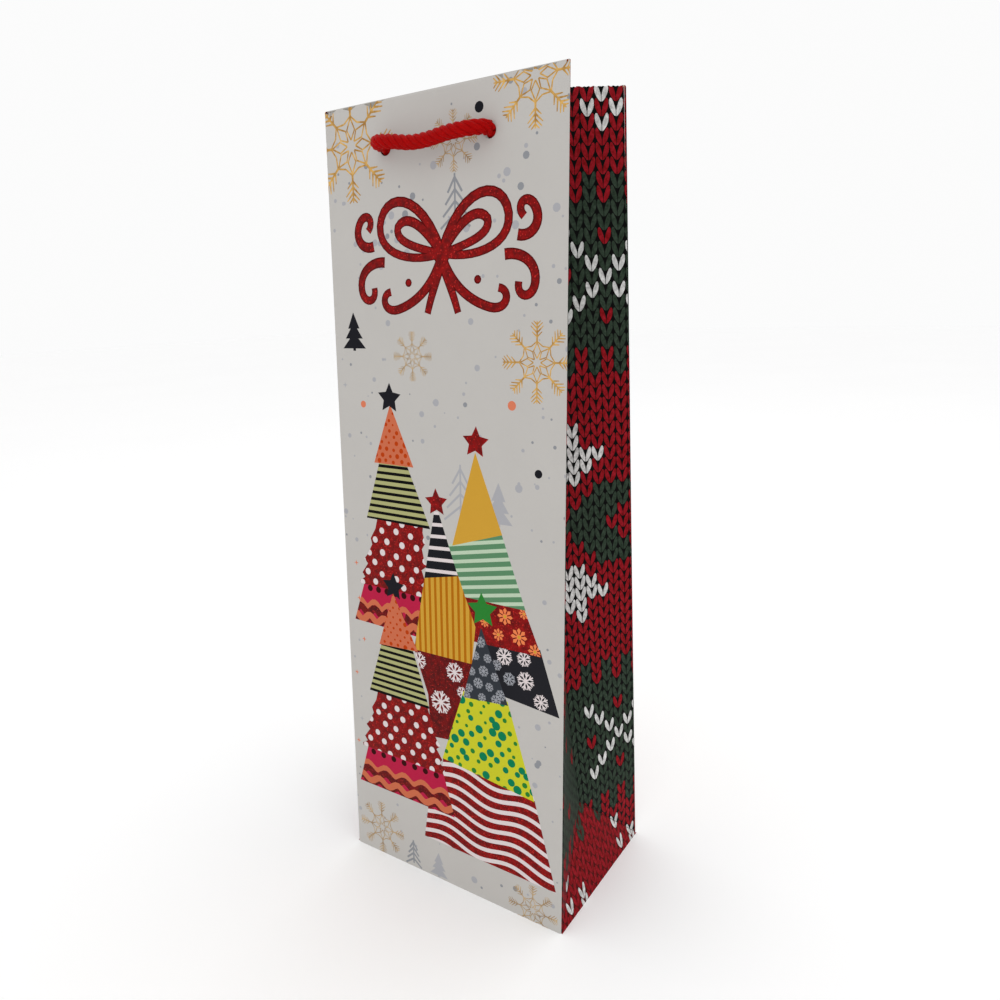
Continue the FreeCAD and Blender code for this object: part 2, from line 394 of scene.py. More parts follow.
def curve(a, b, c, d, steps=12):
    """A cubic curve from a to d, pulled towards b and c."""
    result = []
    for i in range(steps + 1):
        f = i / steps
        ab, bc, cd = between(a, b, f), between(b, c, f), between(c, d, f)
        result.append(between(between(ab, bc, f), between(bc, cd, f), f))
    return result


def stripes(art, tier, count, ink, lean=0.0, across=True, share=0.5):
    """Bands over a four-sided tier, slanted by lean; share is how much of it they cover."""
    part = art.shapes[tier][0]
    xs, ys = [p[0] for p in part], [p[1] for p in part]
    left, right, top, bottom = min(xs) - 2, max(xs) + 2, min(ys), max(ys)
    for i in range(-3, count + 4):
        if across:
            y = top + (bottom - top) * i / count
            thick = (bottom - top) / count * share
            art.add([(left, y - lean), (right, y + lean), (right, y + lean + thick), (left, y - lean + thick)],
                    ink, tier)
        else:
            x = left + 2 + (right - left - 4) * i / count
            thick = (right - left - 4) / count * share
            art.add([(x - lean, top - 1), (x - lean + thick, top - 1),
                     (x + lean + thick, bottom + 1), (x + lean, bottom + 1)], ink, tier)


def dots(art, tier, ink, spacing, radius, seed, vary=0.15, jitter=0.12, other=None):
    """Staggered dots over a tier, uneven in size and place; some are smaller, in the other ink."""
    part = art.shapes[tier][0]
    xs, ys = [p[0] for p in part], [p[1] for p in part]
    draw = random.Random(seed)
    row, y = 0, min(ys) + spacing * 0.3
    while y < max(ys) + radius:
        x = min(xs) + spacing * (0.25 + 0.5 * (row % 2))
        while x < max(xs) + radius:
            r = radius * (1 + vary * draw.uniform(-1, 1))
            cx, cy = x + spacing * jitter * draw.uniform(-1, 1), y + spacing * jitter * draw.uniform(-1, 1)
            if other and draw.random() < 0.45:
                art.add(disc(cx, cy, r * 0.62, 10), other, tier)
            else:
                art.add(disc(cx, cy, r), ink, tier)
            x += spacing
        row += 1
        y += spacing * 0.62


ARMS = 8            # of every snowflake
SMALL_TURN = 0.2    # radians that the small ones are turned by


def snowflake(art, x, y, r, ink, thick=0.052):
    """A large one, with feathered arms; thick is a stroke's width as a share of the radius."""
    for k in range(ARMS):
        angle = 2 * math.pi * k / ARMS
        ahead, side = Vector((math.sin(angle), -math.cos(angle))), Vector((math.cos(angle), math.sin(angle)))

        def at(along, off=0.0):
            return Vector((x, y)) + (ahead * along + side * off) * r

        art.stroke([at(0.46), at(0.97)], thick * r, ink, tip=thick * r * 0.5)
        for sign in (-1, 1):
            art.stroke([at(0.1), at(0.27, sign * 0.095), at(0.47)], thick * r * 0.6, ink)
            art.stroke([at(0.5), at(0.38, sign * 0.157)], thick * r * 0.6, ink)
            for along, reach in ((0.6, 0.17), (0.7, 0.22), (0.8, 0.19), (0.89, 0.12)):
                art.stroke([at(along), at(along + reach * 0.72, sign * reach * 0.8)], thick * r * 0.85, ink,
                           tip=thick * r * 0.4)


def small_flake(art, x, y, r, ink, within):
    """One of a tier's pattern, with forked arms."""
    for k in range(ARMS):
        angle = 2 * math.pi * k / ARMS + SMALL_TURN
        run = Vector((math.cos(angle), math.sin(angle)))
        off = Vector((-run.y, run.x))
        c = Vector((x, y))
        art.stroke([c, c + run * r], 0.15 * r, ink, within)
        for sign in (-1, 1):
            art.stroke([c + run * r * 0.5, c + run * r * 0.86 + off * r * 0.26 * sign], 0.13 * r, ink, within)
    art.add(disc(x, y, 0.2 * r, 8), ink, within)


def blossom(art, x, y, r, within):
    """An eight-petalled flower with dark veins."""
    art.add(star(x, y, r, 0.72, points=8), "peach", within)
    for k in range(8):
        angle = math.pi * (k + 0.5) / 4
        run = Vector((math.sin(angle), math.cos(angle)))
        art.stroke([Vector((x, y)) + run * r * 0.3, Vector((x, y)) + run * r * 0.8], 0.13 * r, "wine", within)
    art.add(disc(x, y, 0.2 * r, 8), "mustard", within)


def sketch_pine(art, x, top, bottom, ink):
    """A bare pine drawn with a few slanting strokes."""
    reach = (bottom - top) * 0.42
    art.stroke([(x, top), (x, bottom)], 0.9, ink)
    for i in range(4):
        f = 0.08 + 0.24 * i
        y = top + (bottom - top) * f
        for sign in (-1, 1):
            art.stroke([(x, y), (x + sign * reach * (0.45 + 0.16 * i), y + (bottom - top) * 0.3)], 1.0, ink)


def fir(art, x, top, bottom, width, ink):
    """A solid fir with three tiers."""
    tall = bottom - top
    for i in range(3):
        y = top + tall * 0.26 * i
        w = width * (0.5 + 0.25 * i) / 2
        art.add([(x, y), (x + w, y + tall * 0.42), (x - w, y + tall * 0.42)], ink)
    base = bottom - 0.12 * tall
    art.add([(x - 0.8, base), (x + 0.8, base), (x + 0.8, bottom), (x - 0.8, bottom)], ink)


# a spotted tier's torn sides: how far down each notch is, and how far in
NOTCHES = ((0.2, 0.5), (0.34, -0.9), (0.42, 1.0), (0.58, -0.4), (0.64, -1.6), (0.7, 1.4), (0.84, -0.6), (0.9, 1.8),
           (0.96, -0.8))
# a hem's waves: how far down each is, its ink, thickness and where its wave starts
WAVES = ((0.56, "salmon", 2.8, 0), (0.7, "wine", 3.8, 0), (0.93, "wine", 3.4, 2.4), (0.86, "salmon", 3.4, 2.4))


def patchwork_tree(art, x, top, tiers, seed):
    """A tree of four tiers, the lowest painted first: a dotted triangle, a striped tier, a spotted one with torn sides
    and a waved hem, with a star on top. Each tier is its top left, top right, bottom right and bottom left corner."""
    triangle, striped, spotted, hem = tiers
    tier = art.add(hem, "pink")
    (left, high), (right, _), (low_right, low), (low_left, _) = hem
    for i in range(7):
        art.add(disc(left + 2.5 + (right - left) * 0.145 * i, high + 5.5, 1.6), "plum", tier)
    for level, ink, thick, phase in WAVES:
        art.stroke([(low_left - 3 + i * (low_right - low_left + 6) / 44,
                     high + (low - high) * level + 1.5 * math.sin(i * 0.8 + phase)) for i in range(45)],
                   thick, ink, tier)
    (left, high), (right, _), (low_right, low), (low_left, _) = spotted
    left_edge = [(left + (low_left - left) * f + jog, high + (low - high) * f) for f, jog in NOTCHES]
    right_edge = [(right + (low_right - right) * f - jog, high + (low - high) * (f - 0.06)) for f, jog in NOTCHES]
    foot = [(low_left, low), (low_right, low)]
    tier = art.add([(left, high)] + left_edge + foot + right_edge[::-1] + [(right, high)], "red")
    dots(art, tier, "flake", 8.6, 1.6, seed + 1, vary=0.05)
    tier = art.add(striped, "black")
    stripes(art, tier, 9, "olive", share=0.56)
    tier = art.add(triangle, "salmon")
    dots(art, tier, "brown", 4.4, 1.05, seed, vary=0.25, other="brown")
    art.add(star(x, top + 7, 7.0, turn=0.03), "charcoal")


BOW_MIDDLE, BOW_RISE = 64, 2.5
RIM_WIDTH, RIBBON_WIDTH = 4.5, 3.3


def flourish(art):
    """A symmetric bow of ribbon scrolls, in glitter with a darker rim."""
    scrolls = [
        curve((64, 65), (54, 38), (33, 38), (31, 52)) + curve((31, 52), (30, 65), (50, 68), (64, 65))[1:],
        curve((64, 66), (60, 76), (52, 84), (40, 87)) + curve((40, 87), (31, 89), (30, 80), (36, 79.5))[1:],
        curve((33, 67), (26, 66), (18, 70), (19, 78)) + curve((19, 78), (20, 85), (28, 84), (26.5, 77.5))[1:],
        curve((27, 60), (20, 62), (15, 55), (20, 49)) + curve((20, 49), (24, 45), (28, 50), (24, 53.5))[1:],
        curve((64, 65), (56, 54), (46, 47), (41, 53)) + curve((41, 53), (39, 59), (50, 62), (64, 65))[1:],
        curve((64, 68), (61, 76), (58, 82), (56, 89)),
    ]
    for ink, width in (("rim", RIM_WIDTH), ("red", RIBBON_WIDTH)):
        for scroll in scrolls:
            for mirrored in (False, True):
                line = [(2 * BOW_MIDDLE - x if mirrored else x, y - BOW_RISE) for x, y in scroll]
                art.stroke(line, width, ink, tip=width * 0.75)
        rim = (width - RIBBON_WIDTH) / 2
        art.add(disc(BOW_MIDDLE, 63.5, 3.4 + rim, 18), ink)
        for x in (46, 82):
            art.add(disc(x, 73.5, 1.2 + rim, 10), ink)


# The knit print of the gussets: a from the rear corner and v up the paper

COLUMN, ROW = 5.93, 5.5                 # a stitch's width and height
FIRST_COLUMN = 11.3                     # a at column 0
MIDDLE_ROW, MIDDLE = 33, 172.6          # the row that the pattern is symmetric about, and v there
ROWS = range(-2, 67)
REPEAT = 9                              # columns


def stitch_ink(column, row):
    """The pattern's ink, from c columns off the motif's middle and d rows off the middle row."""
    c = (column + 4) % REPEAT - 4
    d = abs(row - MIDDLE_ROW)
    if d <= 3:
        return "stitch_green" if max(0, c + 1) <= d <= c + 4 else "stitch_red"
    if d <= 12 or (d <= 14 and c % 2 == 0):
        white = {-3: (4, 8), -4: (4, 7), -2: (5, 6), -1: (6, 6), 4: (5, 6), 3: (6, 6)}.get(c, (1, 0))
        return "stitch_white" if white[0] <= d <= white[1] else "stitch_red"
    if d <= (25 if c % 2 == 0 else 27):
        if abs(c) <= 3 and abs(d - 20) == abs(c):
            return "stitch_white"
        if (abs(c), d) in ((0, 17), (0, 23), (3, 20)):
            return "stitch_red"
        return "stitch_green"
    if row > MIDDLE_ROW:
        return "stitch_white" if (c, d) in ((-1, 29), (-1, 31), (1, 31), (1, 32)) else "stitch_red"
    return "stitch_white" if (abs(c), d) in ((0, 33), (1, 32), (0, 31)) else "stitch_red"


# the right half of a stitch, from its foot
LEAF = ((0.1, 0.0), (0.75, 0.25), (1.75, 1.5), (2.6, 3.3), (2.86, 4.9), (2.78, 6.1), (2.35, 6.85), (1.75, 6.6),
        (1.05, 5.2), (0.42, 3.5), (0.12, 2.0))


# The print of a wide wall

WRAP, OVER_TOP = 2.0, 3.0       # how far the sheet goes round each corner, and over the fold at the mouth
DOTS, DENSE_ABOVE = 250, 70     # small dots, larger ones above this line
LARGE_DOTS = (0.5, 0.6, 0.8, 0.9, 1.2, 1.5, 1.7)
SMALL_DOTS = (0.4, 0.5, 0.55, 0.6, 0.8, 1.1, 1.4, 0.7)


def wall_art(corner_column):
    """corner_column is the knit column that comes round the corners."""
    outline = [(-WRAP, -OVER_TOP), (WIDTH + WRAP, -OVER_TOP), (WIDTH + WRAP, HEIGHT), (-WRAP, HEIGHT)]
    art = Artwork(outline, "paper")
    draw = random.Random(7)
    for _ in range(DOTS):
        x, y = draw.uniform(0, WIDTH), draw.uniform(2, HEIGHT - 3)
        r = draw.choice(LARGE_DOTS if y < DENSE_ABOVE else SMALL_DOTS)
        art.add(disc(x, y, r, 10), draw.choice(("grey", "mid_grey", "grey")))
    for x, y in ((6, 118), (9, 222), (5, 262), (7, 287), (100, 272), (11, 243), (4, 300), (8, 204)):
        art.add(star(x, y, 1.5, 0.3, points=4), draw.choice(("orange", "grey")))
    for x, y, r, ink in ((83.6, 9.4, 2.1, "charcoal"), (110.8, 150.6, 1.8, "charcoal"), (17, 126.5, 1.6, "orange"),
                         (98.2, 123.6, 2.0, "orange"), (59.5, 124, 1.6, "grey"), (101.5, 157.5, 1.8, "grey"),
                         (76, 352, 1.8, "grey"), (111, 262, 1.5, "grey")):
        art.add(disc(x, y, r), ink)
    snowflake(art, 16.2, 15.2, 24, "gold")
    snowflake(art, 108.8, 2.2, 19, "gold")
    snowflake(art, 109.9, 106.2, 16.5, "gold")
    snowflake(art, 71, 20, 12, "bronze", 0.05)
    snowflake(art, 47, 104.5, 11, "bronze", 0.05)
    sketch_pine(art, 71.3, 32, 51, "mid_grey")
    fir(art, 13, 85.2, 102.3, 14, "charcoal")
    sketch_pine(art, 72, 150, 173, "grey")
    fir(art, 91.5, 156, 175, 14, "grey")
    flourish(art)

    # the tall tree at the back on the left
    patchwork_tree(art, 32.9, 116.2, (
        [(33.2, 126), (33.3, 126), (46, 153.6), (22.4, 153.3)],
        [(25.8, 152), (41.8, 152), (54.9, 180.9), (16.2, 180.4)],
        [(23.5, 178), (51, 178), (50.5, 214), (10.3, 212.5)],
        [(14, 210), (51, 210), (52, 234.5), (5.5, 233.5)]), 11)

    # the right tree
    tier = art.add([(83, 225), (112, 226), (121.6, 254.8), (93, 252)], "night")
    for x, y, r in ((94, 233, 4.2), (104, 232, 3.6), (104.8, 242, 4.4), (96.5, 243, 3.2), (112.5, 250, 3.8),
                    (90, 238, 2.6)):
        small_flake(art, x, y, r, "flake" if r > 3.5 else "flake_grey", tier)
    tier = art.add([(72, 207), (103.6, 208), (112.8, 229.2), (77.5, 229.5)], "red")
    for x, y, r in ((94.5, 214.5, 4.0), (101.5, 222.5, 4.2), (91, 223.5, 3.0), (109.5, 227.5, 3.6), (84, 219, 2.6),
                    (104, 211.5, 2.6)):
        blossom(art, x, y, r, tier)
    tier = art.add([(64.5, 186.6), (93, 178), (104.8, 209.9), (73.5, 209.4)], "leaf")
    stripes(art, tier, 8, "mint", lean=-4.2, share=0.42)
    art.add([(79.9, 144), (93.3, 178.4), (67.1, 186.7)], "mustard")
    art.add(star(80.1, 139.9, 7.0, turn=0.05), "red")

    # the middle tree
    tier = art.add([(43, 240.5), (79, 238.5), (75, 258), (64, 282), (52, 283.4), (51, 262)], "wine")
    for x, y, r in ((46, 246, 4.4), (67, 247, 5.0), (58.5, 264, 6.0), (71, 256, 3)):
        small_flake(art, x, y, r, "flake", tier)
    tier = art.add([(51.3, 202), (69.6, 199), (79, 222.4), (76.8, 240.6), (43.3, 241)], "mustard")
    stripes(art, tier, 11, "mustard_dark", across=False, share=0.42)
    tier = art.add([(57.4, 172), (59.6, 172), (70, 200.4), (50.8, 204.4)], "charcoal")
    stripes(art, tier, 6, "flake", lean=-0.8, share=0.3)
    art.add(star(58.6, 168.2, 6.5, turn=-0.05), "red")

    # the front right tree
    tier = art.add([(59, 292), (109, 296), (120.8, 340), (46.2, 339.4), (49.5, 318), (57.8, 303)], "red")
    for i in range(10):
        art.stroke([(42 + 2.2 * k, 289 + 5.7 * i + 0.06 * 2.2 * k + 1.9 * math.sin(k * 0.36 + i * 0.25))
                    for k in range(38)], 2.1, "flake", tier)
    tier = art.add([(71.8, 255), (95.6, 254), (109.4, 298.6), (58.6, 292.9)], "lime")
    dots(art, tier, "dot_green", 6.6, 1.85, 31, vary=0.3, jitter=0.2, other="green")
    tier = art.add([(82, 222), (95.8, 255.9), (71.6, 258)], "slate")
    for i, (x, y) in enumerate(((81.5, 229), (78.8, 236), (85.2, 236), (83, 242.5), (76.5, 244), (89, 244), (80, 249),
                                (86, 249.5), (75, 252.5), (92, 252), (82, 255.5), (73.5, 256.5), (89.5, 255))):
        small_flake(art, x, y, 2.2 if i % 3 else 2.7, "flake_grey", tier)
    art.add(star(82.8, 213.9, 8.2, turn=-0.06), "green")

    # the front left tree
    patchwork_tree(art, 31.5, 205.2, (
        [(31, 215.5), (31.1, 215.5), (45.5, 241.8), (21, 243.4)],
        [(23.2, 240.5), (42, 240.5), (51.5, 269.5), (13.3, 269.6)],
        [(19.2, 267), (49.8, 267), (59.4, 301.8), (7.2, 300.5)],
        [(11.5, 298), (58, 298), (65, 322.5), (4, 322.5)]), 21)

    snowflake(art, 17.8, 345.4, 15, "bronze", 0.05)
    snowflake(art, 108.7, 354.3, 13.5, "bronze", 0.05)
    sketch_pine(art, 38.5, 345, 358, "mid_grey")
    fir(art, 54.5, 346, 359.5, 11, "grey")
    wide = 1.65
    for x in (-WRAP, WIDTH + WRAP - wide):     # the gusset's print comes round the corner
        strip = art.add([(x, -OVER_TOP), (x + wide, -OVER_TOP), (x + wide, HEIGHT), (x, HEIGHT)], "stitch_gap")
        for row in ROWS:
            y = HEIGHT - MIDDLE - ROW * (MIDDLE_ROW - row)
            for side in (-1, 1):
                ink = stitch_ink(corner_column, row).replace("white", "green")
                art.add([(x + 0.8 + side * a, y - b) for a, b in LEAF], ink, strip)
    for sign in (-1, 1):
        art.add(disc(WIDTH / 2 + sign * HOLE_X, HEIGHT - HOLE_HEIGHT, HOLE_RADIUS, 36), "hole")
    return art


# Where a point of the flat paper is on the bag

TOP_ROUND, CORNER = 0.75, 1.5     # radii of a wide wall's fold at the mouth and of its corners
GUSSET_ROUND = 0.3                # radius of the gussets' fold at the mouth
BOW_TOP, BOW_SIDE, BOW_OUT = 310, 60, 0.7


def fold_angle(v):
    """How far a gusset half turns in from its wall, at this height up the paper."""
    return math.acos((HALF - max(v, HALF) * math.sin(LEAN)) / HALF)


def bow(x, v):
    """How far the wide wall's paper stands out, in millimetres."""
    if v > BOW_TOP or abs(x) > BOW_SIDE:
        return 0.0
    return BOW_OUT * math.cos(math.pi * x / (2 * BOW_SIDE)) ** 2 * math.sin(math.pi * max(v, 0) / BOW_TOP) ** 2


def over_the_top(v, limit, radius, depth):
    """Height, and the way in, of paper that turns over at the mouth."""
    if v <= limit:
        return v, depth
    turn = min((v - limit) / radius, math.pi)
    return limit + (radius - depth) * math.sin(turn), radius - (radius - depth) * math.cos(turn)


def off_wall(across, inward, v, facing):
    """The model's point, in millimetres, for a place on a wide wall: across, in from its outer face, up the paper."""
    return Vector((across * facing, (-HALF + v * math.sin(LEAN) + inward * math.cos(LEAN)) * facing,
                   v * math.cos(LEAN) - inward * math.sin(LEAN)))


def wall_point(x, y, depth, facing):
    """A point of a wide wall's sheet: x from its left edge and y down from its top, seen from outside."""
    x, v = x - WIDTH / 2, HEIGHT - y
    bend = math.pi / 2 + fold_angle(v)
    radius = CORNER / math.tan(bend / 2)
    turn = max(0.0, (abs(x) - WIDTH / 2 + CORNER) / (CORNER + WRAP)) * bend
    straight = HEIGHT - TOP_ROUND
    v, inward = over_the_top(v * straight / HEIGHT if v < HEIGHT else v - TOP_ROUND, straight, TOP_ROUND, depth)
    if turn:
        across = WIDTH / 2 - CORNER + (radius - inward) * math.sin(turn)
        inward = radius - (radius - inward) * math.cos(turn)
        across = math.copysign(across, x)
    else:
        across = x
    return off_wall(across, inward - bow(x, v), v, facing)


def gusset_point(u, v, depth, right, rear):
    """A point of a gusset half: u from its corner crease and v up the paper."""
    v, inward = over_the_top(v, HEIGHT - GUSSET_ROUND, GUSSET_ROUND, depth)
    angle = fold_angle(v)
    if u > HALF + 0.01:        # the lip behind the centre crease
        x, y = WIDTH / 2 - HALF * math.sin(angle) - inward, HALF - u
    else:
        x = WIDTH / 2 - u * math.sin(angle) - inward * math.cos(angle)
        y = HALF - v * math.sin(LEAN) - u * math.cos(angle) + inward * math.sin(angle)
    return Vector((x * right, y * rear, v * math.cos(LEAN)))


def foot_point(y, v, depth, right):
    """A point of the gusset's lower triangle: y along the base edge and v up the paper."""
    return Vector(((WIDTH / 2 - v * math.sin(FOOT) - depth * math.cos(FOOT)) * right, y,
                   max(v * math.cos(FOOT) - depth * math.sin(FOOT), 0.0)))


def knit_art(outline, to_sheet, low, high, first, last, ground="stitch_gap"):
    """Stitches over the paper from a = first to last and v = low to high; to_sheet turns (a, v) into sheet units."""
    art = Artwork(outline, ground)
    for column in range(-13, 4):
        a = FIRST_COLUMN - COLUMN * column
        if not first - 4 < a < last + 4:
            continue
        for row in ROWS:
            v = MIDDLE + ROW * (MIDDLE_ROW - row)
            if not low - 8 < v < high + 2:
                continue
            ink = stitch_ink(column, row)
            # white stitches turn green next to the front wall and low down in the front half
            if ink == "stitch_white" and (a > 79 or a > HALF and 42 < v < 150):
                ink = "stitch_green"
            for side in (-1, 1):
                art.add([to_sheet(a + side * x, v + y) for x, y in LEAF], ink)
    return art


def grid(low_x, high_x, low_y, high_y, step_x, step_y):
    """Extra points of a sheet, so that its faces stay small where it bends."""
    nx, ny = max(1, round((high_x - low_x) / step_x)), max(1, round((high_y - low_y) / step_y))
    return [(low_x + (high_x - low_x) * i / nx, low_y + (high_y - low_y) * j / ny)
            for i in range(nx + 1) for j in range(ny + 1)]


# Ropes

def spline_points(name, points):
    """The smooth line that has these control points, as points along it."""
    data = bpy.data.curves.new(name, "CURVE")
    data.dimensions = "3D"
    data.resolution_u = 24
    spline = data.splines.new("NURBS")
    spline.points.add(len(points) - 1)
    for point, place in zip(spline.points, points):
        point.co = (*place, 1)
    spline.order_u = 3
    spline.use_endpoint_u = True
    holder = bpy.data.objects.new(name, data)
    line = bpy.data.meshes.new_from_object(holder)
    result = [v.co.copy() for v in line.vertices]
    bpy.data.objects.remove(holder)
    bpy.data.curves.remove(data)
    bpy.data.meshes.remove(line)
    return result


def even(points, step):
    """The same line with evenly spaced points."""
    lengths = [0.0]
    for a, b in zip(points, points[1:]):
        lengths.append(lengths[-1] + (b - a).length)
    count = max(2, round(lengths[-1] / step))
    result, k = [], 0
    for i in range(count + 1):
        want = lengths[-1] * i / count
        while k < len(points) - 2 and lengths[k + 1] < want:
            k += 1
        span = lengths[k + 1] - lengths[k] or 1.0
        result.append(points[k].lerp(points[k + 1], (want - lengths[k]) / span))
    return result


def carried_frames(points):
    """The run and two directions across it at each point, turning as little as they can."""
    runs = [(points[min(i + 1, len(points) - 1)] - points[max(i - 1, 0)]).normalized() for i in range(len(points))]
    across = runs[0].orthogonal().normalized()
    result = []
    for run in runs:
        across = (across - run * across.dot(run)).normalized()
        result.append((run, across, run.cross(across)))
    return result


STRANDS, STRAND_SIDES = 5, 10
STRAND_RADIUS = 0.19        # of the rope's diameter
STRAND_WIDTH = 1.15         # of its height: a laid strand is flattened
RIDGES, RIDGE = 3, 0.05     # fine ridges along each strand
TWIST = 0.017               # metres for a full turn of the strands


def rope_mesh(name, points, diameter, spread=None, start_turn=0.0):
    """Twisted strands along a line. spread(f) widens the strands' circle at fraction f of it."""
    radius = diameter * STRAND_RADIUS
    ring = diameter / 2 - radius
    frames = carried_frames(points)
    verts, faces = [], []
    length = sum((b - a).length for a, b in zip(points, points[1:]))
    for strand in range(STRANDS + 1):      # the last one is the core
        first, along = len(verts), 0.0
        thick = radius if strand < STRANDS else ring
        for i, (point, (run, across, other)) in enumerate(zip(points, frames)):
            if i:
                along += (point - points[i - 1]).length
            turn = 2 * math.pi * (along / TWIST + strand / STRANDS) + start_turn
            out = across * math.cos(turn) + other * math.sin(turn)
            wide = ring * (spread(along / length) if spread else 1.0) if strand < STRANDS else 0.0
            centre = point + out * wide
            tilt = (run + out.cross(run) * (-2 * math.pi * wide / TWIST)).normalized()
            side = tilt.cross(out).normalized()
            for k in range(STRAND_SIDES):
                angle = 2 * math.pi * k / STRAND_SIDES
                ridge = 1 + RIDGE * math.cos(RIDGES * angle)
                reach = out * math.cos(angle) + side * math.sin(angle) * STRAND_WIDTH
                verts.append(centre + reach * thick * ridge)
        rows = len(points)
        for i in range(rows - 1):
            for k in range(STRAND_SIDES):
                a, b = first + i * STRAND_SIDES + k, first + i * STRAND_SIDES + (k + 1) % STRAND_SIDES
                faces.append((a, b, b + STRAND_SIDES, a + STRAND_SIDES))
        faces.append(tuple(first + k for k in range(STRAND_SIDES))[::-1])
        faces.append(tuple(first + (rows - 1) * STRAND_SIDES + k for k in range(STRAND_SIDES)))
    mesh = bpy.data.meshes.new(name)
    mesh.from_pydata(verts, [], faces)
    mesh.materials.append(ROPE_RED)
    return finish_mesh(name, mesh, 60)


# Routes in the wall's own millimetres: across from its middle or, for a tail, from its hole; inwards; up the paper

GRIP_ROUTE = [
    (-26.5, -0.2, 341.6), (-26.5, -3.1, 341.6), (-25.6, -6.2, 341.7), (-23.0, -8.6, 341.4), (-18.8, -9.4, 340.9),
    (-13.4, -9.2, 340.2), (-6.0, -8.3, 338.9), (2.4, -8.0, 339.2), (10.2, -8.5, 340.2), (16.6, -8.9, 340.5),
    (21.3, -8.3, 340.7), (24.8, -6.1, 341.1), (26.5, -3.1, 341.5), (26.5, -0.2, 341.5)]

TAIL_ROUTE = [
    (0.0, 0.7, 341.4), (0.1, 3.3, 340.3), (0.2, 5.1, 338.2), (0.2, 6.0, 334.9), (0.0, 6.0, 329.0),
    (-0.7, 6.1, 319.0), (-2.2, 6.9, 305.0), (-2.6, 7.8, 287.0), (-4.4, 8.2, 268.0), (-5.0, 9.4, 252.0),
    (-5.0, 10.1, 238.0)]

ROPE_RED = cord_material()

KNOT_STEPS, KNOT_HALF_HEIGHT = 60, 4.6
KNOT_DROP, STUB_DROP = 5.4, 3.5         # from the tail's end to the knot's middle, and from there to the cut end's top
STUB_LENGTH, STUB_STEPS = 13.5, 18
KNOT_ROPE, STUB_ROPE = 0.84, 0.95       # of the rope's diameter: a tight knot squeezes it


def overhand(centre, down, side):
    """The line of an overhand knot, pulled tight, about a centre, with its loose end below."""
    ahead = down.orthogonal().normalized()
    other = down.cross(ahead)
    line = []
    for i in range(KNOT_STEPS + 1):
        f = i / KNOT_STEPS
        angle = 2 * math.pi * (0.08 + 1.42 * f)
        rise = -KNOT_HALF_HEIGHT + 2 * KNOT_HALF_HEIGHT * f
        reach = 3.3 + 1.0 * math.cos(2 * math.pi * f * 1.5)
        closed = math.sin(math.pi * min(1, f * 1.25 + 0.08)) ** 0.5
        line.append(centre + (ahead * math.cos(angle) + other * math.sin(angle) * side) * reach * MM * closed
                    + down * (rise + 2.2 * math.sin(2 * math.pi * f)) * MM)
    return line


def frayed(f):
    """How the strands spread towards a cut end."""
    return 1 + 0.9 * max(0.0, f - 0.55) ** 1.4


def add_handle(name, facing):
    wall = name + "_wall"
    route = [off_wall(*place, facing) * MM for place in GRIP_ROUTE]
    points = even(spline_points(name + "_grip", route), 0.0006)
    grip = rope_mesh(name + "_handle", points, ROPE * MM, start_turn=0.6)
    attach(grip, name + "_grip")
    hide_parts(name + "_handle_rope")
    for side, label in ((-1, "left"), (1, "right")):
        route = [off_wall(side * (HOLE_X + x), inward, v, facing) * MM for x, inward, v in TAIL_ROUTE]
        points = even(spline_points(name + "_tail", route), 0.001)
        tail = rope_mesh(name + "_tail_" + label, points, ROPE * MM, start_turn=1.3 * side)
        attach(tail, wall)
        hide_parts(name + "_rope_tail_" + label)
        down = (points[-1] - points[-4]).normalized()
        centre = points[-1] + down * KNOT_DROP * MM
        knot_line = even(overhand(centre, down, side), 0.0008)
        knot = rope_mesh(name + "_knot_" + label + "_turns", knot_line, ROPE * KNOT_ROPE * MM)
        low = centre + down * STUB_DROP * MM
        stub_line = [low + down * STUB_LENGTH * MM * i / STUB_STEPS for i in range(STUB_STEPS + 1)]
        stub = rope_mesh(name + "_cut_end_" + label, stub_line, ROPE * STUB_ROPE * MM, spread=frayed)
        for piece in (knot, stub):
            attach(piece, wall)
        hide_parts(name + "_knot_" + label)


add_handle("front", 1)
add_handle("back", -1)


# Wide walls

def add_wall(name, facing, corner_column):
    art = wall_art(corner_column)
    extra = grid(0, WIDTH, 2, HEIGHT - 2, 10, 12)
    # closer points where the paper rounds its corners and the mouth
    for x in (-1.99, -1.5, -1.0, -0.5, 0.0, 0.5, 1.0, 1.5):
        extra += [(side_x, y) for y in range(-2, 361, 6) for side_x in (x, WIDTH - x)]
    for y in (-2.9, -2.4, -1.8, -1.2, -0.6, 0.0, 0.5, 1.2):
        extra += [(x * 4.0, y) for x in range(0, 32)]
    piece = sheet_object(name + "_printed_wall", art, lambda x, y, d: wall_point(x, y, d, facing), extra)
    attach(piece, name + "_wall")
    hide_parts(name + "_panel")


add_wall("front", 1, -12)
add_wall("back", -1, 2)


# Gussets

GUSSET_START = 1.45             # from the corner crease to where the wall's own sheet ends
GUSSET_TOP = HEIGHT + 0.9       # the sheet's end, over the fold at the mouth
HEM_DEEP, HEM_INWARD = 40, 0.65
HEM_FIRST, HEM_LAST, HEM_TOP = 3, 38.5, HEIGHT - 0.35
# how wide the lip behind the centre crease is, at each height up the paper
CREASE_LIP = ((60, 0.6), (100, 1.05), (150, 1.4), (200, 1.55), (250, 1.65), (300, 1.9), (GUSSET_TOP, 2.65))


